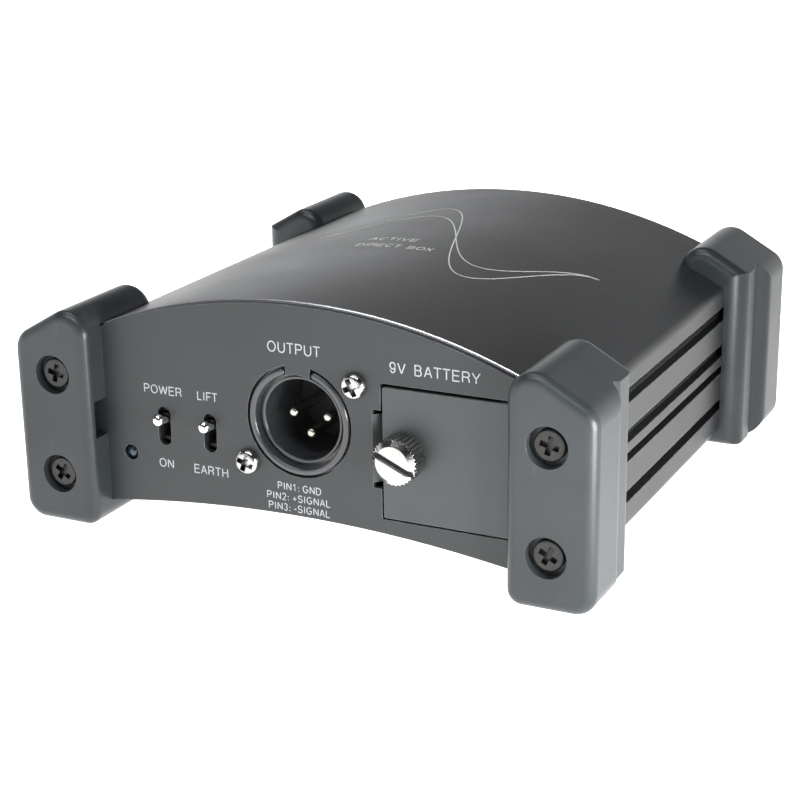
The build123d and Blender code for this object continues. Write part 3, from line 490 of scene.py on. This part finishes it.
# Each glyph: its advance, then its strokes, with the capitals 1 high.
GLYPHS = {
    " ": (0.25,),
    "A": (0.90, [(0.07, 0), (0.43, 1)], [(0.83, 0), (0.47, 1)], [(0.19, 0.33), (0.71, 0.33)]),
    "B": (0.92, [(0.50, 0.53), *bow(0.52, 0.265, 0.26, 0.265, 90, -90), (0.12, 0)],
          [(0.12, 0), (0.12, 1), *bow(0.50, 0.765, 0.23, 0.235, 90, -90), (0.12, 0.53)]),
    "C": (0.99, bow(0.50, 0.5, 0.40, 0.5, 40, 320, 24)),
    "D": (0.99, [(0.12, 0.5), (0.12, 1), *bow(0.46, 0.5, 0.42, 0.5, 90, -90, 20), (0.12, 0), (0.12, 0.5)]),
    "E": (0.88, [(0.80, 1), (0.12, 1), (0.12, 0), (0.82, 0)], [(0.12, 0.53), (0.76, 0.53)]),
    "F": (0.82, [(0.78, 1), (0.12, 1), (0.12, 0)], [(0.12, 0.50), (0.70, 0.50)]),
    "G": (1.06, [*bow(0.51, 0.5, 0.42, 0.5, 42, 330, 24), (0.92, 0.46), (0.56, 0.46)]),
    "H": (0.98, [(0.12, 0), (0.12, 1)], [(0.86, 0), (0.86, 1)], [(0.12, 0.53), (0.86, 0.53)]),
    "I": (0.38, [(0.19, 0), (0.19, 1)]),
    "K": (0.92, [(0.12, 0), (0.12, 1)], [(0.12, 0.36), (0.82, 1)], [(0.38, 0.58), (0.86, 0)]),
    "L": (0.77, [(0.12, 1), (0.12, 0), (0.72, 0)]),
    "N": (0.99, [(0.12, 0), (0.12, 1)], [(0.14, 1), (0.85, 0)], [(0.87, 0), (0.87, 1)]),
    "O": (1.08, bow(0.54, 0.5, 0.45, 0.5, 90, 450, 32)),
    "P": (0.90, [(0.12, 0), (0.12, 1), *bow(0.54, 0.74, 0.27, 0.26, 90, -90), (0.12, 0.48)]),
    "R": (0.96, [(0.12, 0), (0.12, 1), *bow(0.56, 0.755, 0.26, 0.245, 90, -90), (0.12, 0.51)],
          [(0.56, 0.51), (0.78, 0.34), (0.84, 0)]),
    "S": (0.90, [*bow(0.45, 0.75, 0.33, 0.25, 20, 250), *bow(0.45, 0.25, 0.36, 0.26, 68, -160)]),
    "T": (0.82, [(0.02, 1), (0.80, 1)], [(0.41, 0), (0.41, 1)]),
    "U": (0.98, [(0.12, 1), (0.12, 0.38), *bow(0.49, 0.37, 0.37, 0.37, 180, 360), (0.86, 1)]),
    "V": (0.86, [(0.05, 1), (0.42, 0)], [(0.81, 1), (0.44, 0)]),
    "W": (1.28, [(0.05, 1), (0.33, 0)], [(0.63, 1), (0.35, 0)], [(0.65, 1), (0.93, 0)],
          [(1.23, 1), (0.95, 0)]),
    "X": (0.88, [(0.07, 0), (0.81, 1)], [(0.81, 0), (0.07, 1)]),
    "Y": (0.88, [(0.04, 1), (0.44, 0.42), (0.84, 1)], [(0.44, 0.42), (0.44, 0)]),
    "d": (0.76, bow(0.36, 0.36, 0.27, 0.36, 0, 360, 20), [(0.64, 0), (0.64, 1)]),
    "0": (0.77, bow(0.385, 0.5, 0.29, 0.5, 90, 450, 28)),
    "1": (0.77, [(0.16, 0.76), (0.44, 1), (0.44, 0)]),
    "2": (0.77, [*bow(0.385, 0.70, 0.28, 0.30, 165, -35), (0.10, 0), (0.70, 0)]),
    "3": (0.77, bow(0.37, 0.76, 0.25, 0.24, 160, -90), bow(0.37, 0.26, 0.29, 0.26, 90, -160)),
    "4": (0.77, [(0.56, 0), (0.56, 1), (0.06, 0.28), (0.74, 0.28)]),
    "9": (0.77, [*bow(0.385, 0.68, 0.28, 0.32, 0, 360, 20), *bow(0.385, 0.5, 0.28, 0.5, 0, -150)]),
    ":": (0.40, [(0.20, 0), (0.20, 0.14)], [(0.20, 0.50), (0.20, 0.64)]),
    "+": (0.80, [(0.40, 0.08), (0.40, 0.68)], [(0.10, 0.38), (0.70, 0.38)]),
    "-": (0.50, [(0.08, 0.38), (0.42, 0.38)]),
}
TRACKING = 0.14               # extra space after each letter


def lettering(text, width, height):
    """The strokes of a line of text, centred on the origin, width by height."""
    strokes = []
    pen = 0.0
    for letter in text:
        advance, *shapes = GLYPHS[letter]
        strokes += [[(pen + x, y) for x, y in shape] for shape in shapes]
        pen += advance + TRACKING
    left = min(x for stroke in strokes for x, y in stroke)
    right = max(x for stroke in strokes for x, y in stroke)
    stretch = width / (right - left)
    middle = (left + right) / 2
    return [[((x - middle) * stretch, (y - 0.5) * height) for x, y in stroke] for stroke in strokes]


# ---------------------------------------------------------------- printed ink

def link(piece):
    bpy.context.scene.collection.objects.link(piece)
    return piece


def own(piece, material, body="chassis"):
    """Gives a piece its material and the body that it rides on."""
    piece.data.materials.clear()
    piece.data.materials.append(material)
    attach(piece, body)
    return piece


def rails(points, width):
    """The two edges of a line of constant width, mitred at its corners; a loop repeats its first point."""
    closed = (Vector(points[0]) - Vector(points[-1])).length < 0.01 * width
    runs = [(Vector(b) - Vector(a)).normalized() for a, b in zip(points, points[1:])]
    pairs = []
    for i, point in enumerate(points):
        before = runs[i - 1] if i else (runs[-1] if closed else runs[0])
        after = runs[i] if i < len(runs) else (runs[0] if closed else runs[-1])
        mitre = (before + after) / max(0.5, 1 + before.dot(after))
        side = Vector((-mitre.y, mitre.x)) * width / 2
        pairs.append((Vector(point) + side, Vector(point) - side))
    return pairs


def print_lines(name, strokes, width, surface, material):
    """Lines of ink on a surface, which maps a flat point and a height above the paint to a place."""
    mesh = bmesh.new()
    for points in strokes:
        rings = []
        for left, right in rails(points, width):
            rings.append([mesh.verts.new(surface(*corner)) for corner in (
                (left, INK), (right, INK), (right, -INK), (left, -INK))])
        for a, b in zip(rings, rings[1:]):
            for i in range(4):
                mesh.faces.new((a[i], a[i - 1], b[i - 1], b[i]))
        for end in (rings[0], rings[-1]):
            mesh.faces.new(end)
    bmesh.ops.recalc_face_normals(mesh, faces=mesh.faces)
    data = bpy.data.meshes.new(name)
    mesh.to_mesh(data)
    mesh.free()
    return own(link(bpy.data.objects.new(name, data)), material)


def front_surface(x, z):
    return lambda point, lift: Vector((x + point.x, PANEL_FRONT - lift, z + point.y))


def rear_surface(x, z):
    return lambda point, lift: Vector((x - point.x, PANEL_REAR + lift, z + point.y))


def dome(point, lift):
    """The flat drawing wrapped on the domed top."""
    turn = point.x / TOP_RADIUS
    height = TOP_AXIS + (TOP_RADIUS + lift) * cos(turn)
    return Vector(((TOP_RADIUS + lift) * sin(turn), point.y, min(height, CASE_TOP + 0.2 * INK)))


def legend(name, text, x, z, width, height, surface=front_surface):
    """A printed word on a panel, read from outside; sizes in millimetres."""
    strokes = lettering(text, width * MM, height * MM)
    thickness = (0.08 + 0.085 * height) * MM
    return print_lines(name, strokes, thickness, surface(x * MM, z * MM), ink)


# Each word: its name, text, x and z of its middle, width and capital height
FRONT_WORDS = (
    ("legend_output", "OUTPUT", -1.2, 48.75, 13.2, 2.3),
    ("legend_power", "POWER", -36.4, 34.55, 10.0, 1.95),
    ("legend_on", "ON", -36.4, 16.55, 3.7, 1.95),
    ("legend_lift", "LIFT", -24.3, 34.55, 5.2, 1.95),
    ("legend_earth", "EARTH", -24.2, 16.45, 8.9, 1.95),
    ("legend_battery", "9V  BATTERY", 33.2, 47.55, 21.2, 2.3),
    ("legend_pin_1", "PIN1: GND", -0.9, 15.75, 11.0, 1.6),
    ("legend_pin_2", "PIN2: +SIGNAL", -1.2, 13.15, 16.2, 1.6),
    ("legend_pin_3", "PIN3: -SIGNAL", -1.1, 10.65, 15.7, 1.6),
)
REAR_WORDS = (
    ("legend_input", "INPUT", -34.0, 40.25, 10.4, 2.3),
    ("legend_link", "LINK", -8.0, 40.25, 8.0, 2.3),
    ("legend_pad", "PAD", 30.2, 42.25, 6.4, 2.3),
    ("legend_pad_20", "-20dB", 24.0, 34.95, 8.6, 1.9),
    ("legend_pad_40", "-40dB", 36.4, 34.95, 8.6, 1.9),
    ("legend_pad_20_off", "0dB", 24.0, 16.55, 5.4, 1.9),
    ("legend_pad_40_off", "0dB", 36.4, 16.55, 5.4, 1.9),
)

for word in FRONT_WORDS:
    legend(*word)
for word in REAR_WORDS:
    legend(*word, surface=rear_surface)


# ---------------------------------------------------------------- decoration on the domed top

def wave(length, height, cycles, middle_x, middle_y, steps=96):
    """A sine wave that swells from its ends to its middle."""
    points = []
    for i in range(steps + 1):
        share = i / steps
        rise = height * sin(pi * share) * sin(2 * pi * cycles * share)
        points.append((middle_x + (share - 0.5) * length, middle_y + rise))
    return points


def shifted(strokes, x, y):
    return [[(px + x, py + y) for px, py in stroke] for stroke in strokes]


WAVE_LENGTH = 78 * MM
WAVE_HEIGHTS = (38 * MM, 26 * MM)
WAVE_MIDDLE = 6 * MM          # the same in x and in y
TITLE_HEIGHT = 2.6 * MM
TITLE_LINE = 0.36 * MM

waves = [wave(WAVE_LENGTH, height, 1, WAVE_MIDDLE, WAVE_MIDDLE) for height in WAVE_HEIGHTS]
print_lines("top_wave", waves, LINE, dome, line_ink)
title = shifted(lettering("ACTIVE", 13 * MM, TITLE_HEIGHT), -7.5 * MM, -1.5 * MM)
title += shifted(lettering("DIRECT  BOX", 20.5 * MM, TITLE_HEIGHT), -4 * MM, -8.5 * MM)
print_lines("top_title", title, TITLE_LINE, dome, line_ink)


# ---------------------------------------------------------------- studio

# The camera stands to the right of the front and looks down at the box.
AZIMUTH = radians(26.279)
ELEVATION = radians(18.49)
ROLL = radians(-0.828)
STAND = Vector((0.194022, -0.407752, 0.168119))

FLOOR_GLOW = 1.6
FLOOR_GLOW_RIGHT = 0.75       # the least glow, just right of the box
FLOOR_DIM = (0.03, 0.14)      # x over which the floor dims to the right of the box
FLOOR_REGAIN = (0.25, 0.6)    # x over which it regains its glow farther out
HORIZON_GLOW = 1.5
OVERHEAD_GLOW = 0.07
HORIZON_LOW = 0.10            # sine of the elevation where the pale band starts to fall off
HORIZON_HIGH = 0.48
RIGHT_SHADE = 0.3             # share of the glow that is left well to the right
SHADE_TURN = (0.1, 0.7)       # sideways direction over which that share falls off
BOX_MIDDLE = (0, 0, 0.03)     # where the large lights are aimed


def add_camera():
    data = bpy.data.cameras.new("camera")
    data.lens = 83.612
    data.sensor_width = 36.0
    data.clip_start = 0.01
    data.clip_end = 20.0
    camera = link(bpy.data.objects.new("camera", data))
    back = Vector((sin(AZIMUTH) * cos(ELEVATION), -cos(AZIMUTH) * cos(ELEVATION), sin(ELEVATION)))
    right = (-back).cross(Vector((0, 0, 1))).normalized()
    up = back.cross(right)
    turned_right = cos(ROLL) * right + sin(ROLL) * up
    turned_up = cos(ROLL) * up - sin(ROLL) * right
    basis = Matrix((turned_right, turned_up, back)).transposed()
    camera.matrix_world = Matrix.Translation(STAND) @ basis.to_4x4()
    bpy.context.scene.camera = camera


def add_floor():
    """A large pale floor that glows a little, as an overlit sweep does, but less just right of the box."""
    mesh = bmesh.new()
    bmesh.ops.create_circle(mesh, cap_ends=True, segments=96, radius=6.0)
    data = bpy.data.meshes.new("floor")
    mesh.to_mesh(data)
    mesh.free()
    floor = link(bpy.data.objects.new("floor", data))
    g = Graph("floor_white")
    cloud = g.noise(3, 2)
    colour = g.mix(cloud, (0.86, 0.86, 0.86), (0.88, 0.88, 0.88))
    g.shader.inputs["Emission Color"].default_value = (1.0, 1.0, 1.0, 1.0)
    near = g.spread(g.axis("X"), *FLOOR_DIM, FLOOR_GLOW, FLOOR_GLOW_RIGHT)
    far = g.spread(g.axis("X"), *FLOOR_REGAIN, 0.0, FLOOR_GLOW)
    g.feed(g.shader.inputs["Emission Strength"], g.maths("MAXIMUM", near, far))
    g.finish(colour, 0.9, None, 0.0, Specular_IOR_Level=0.1)
    data.materials.append(g.material)


def softbox(name, place, aim, width, height, power, colour=(1.0, 1.0, 1.0)):
    data = bpy.data.lights.new(name, "AREA")
    data.shape = "RECTANGLE"
    data.size = width
    data.size_y = height
    data.energy = power
    data.color = colour
    light = link(bpy.data.objects.new(name, data))
    toward = (Vector(aim) - Vector(place)).to_track_quat("-Z", "Y")
    light.matrix_world = Matrix.Translation(place) @ toward.to_matrix().to_4x4()
    light.visible_camera = False


def add_world():
    """Pale near the horizon, darker to the right, and dark overhead."""
    world = bpy.data.worlds.new("studio")
    bpy.context.scene.world = world
    world.use_nodes = True
    tree = world.node_tree
    background = tree.nodes["Background"]
    direction = tree.nodes.new("ShaderNodeTexCoord").outputs["Generated"]
    split = tree.nodes.new("ShaderNodeSeparateXYZ")
    tree.links.new(direction, split.inputs["Vector"])
    fall = tree.nodes.new("ShaderNodeMapRange")
    fall.interpolation_type = "SMOOTHSTEP"
    fall.inputs["From Min"].default_value = HORIZON_LOW
    fall.inputs["From Max"].default_value = HORIZON_HIGH
    fall.inputs["To Min"].default_value = HORIZON_GLOW
    fall.inputs["To Max"].default_value = OVERHEAD_GLOW
    tree.links.new(split.outputs["Z"], fall.inputs["Value"])
    shade = tree.nodes.new("ShaderNodeMapRange")
    shade.inputs["From Min"].default_value = SHADE_TURN[0]
    shade.inputs["From Max"].default_value = SHADE_TURN[1]
    shade.inputs["To Min"].default_value = 1.0
    shade.inputs["To Max"].default_value = RIGHT_SHADE
    tree.links.new(split.outputs["X"], shade.inputs["Value"])
    glow = tree.nodes.new("ShaderNodeMath")
    glow.operation = "MULTIPLY"
    tree.links.new(fall.outputs["Result"], glow.inputs[0])
    tree.links.new(shade.outputs["Result"], glow.inputs[1])
    background.inputs["Color"].default_value = (0.97, 0.985, 1.0, 1.0)
    tree.links.new(glow.outputs["Value"], background.inputs["Strength"])


add_camera()
add_floor()
add_world()
softbox("overhead", (-0.22, 0.10, 0.92), BOX_MIDDLE, 0.30, 0.80, 2.2, (1.0, 0.99, 1.0))
softbox("edge", (-0.02, -0.44, 0.90), BOX_MIDDLE, 0.85, 0.16, 4.2)
softbox("front", (-0.55, -1.15, 0.55), BOX_MIDDLE, 0.7, 0.7, 0.9)
softbox("right", (1.05, 0.10, 0.30), BOX_MIDDLE, 0.8, 0.5, 1.0)
softbox("right_near", (0.18, -0.12, 0.03), (0.072, -0.10, 0.03), 0.08, 0.08, 0.56)
bpy.context.scene.view_settings.view_transform = "Standard"
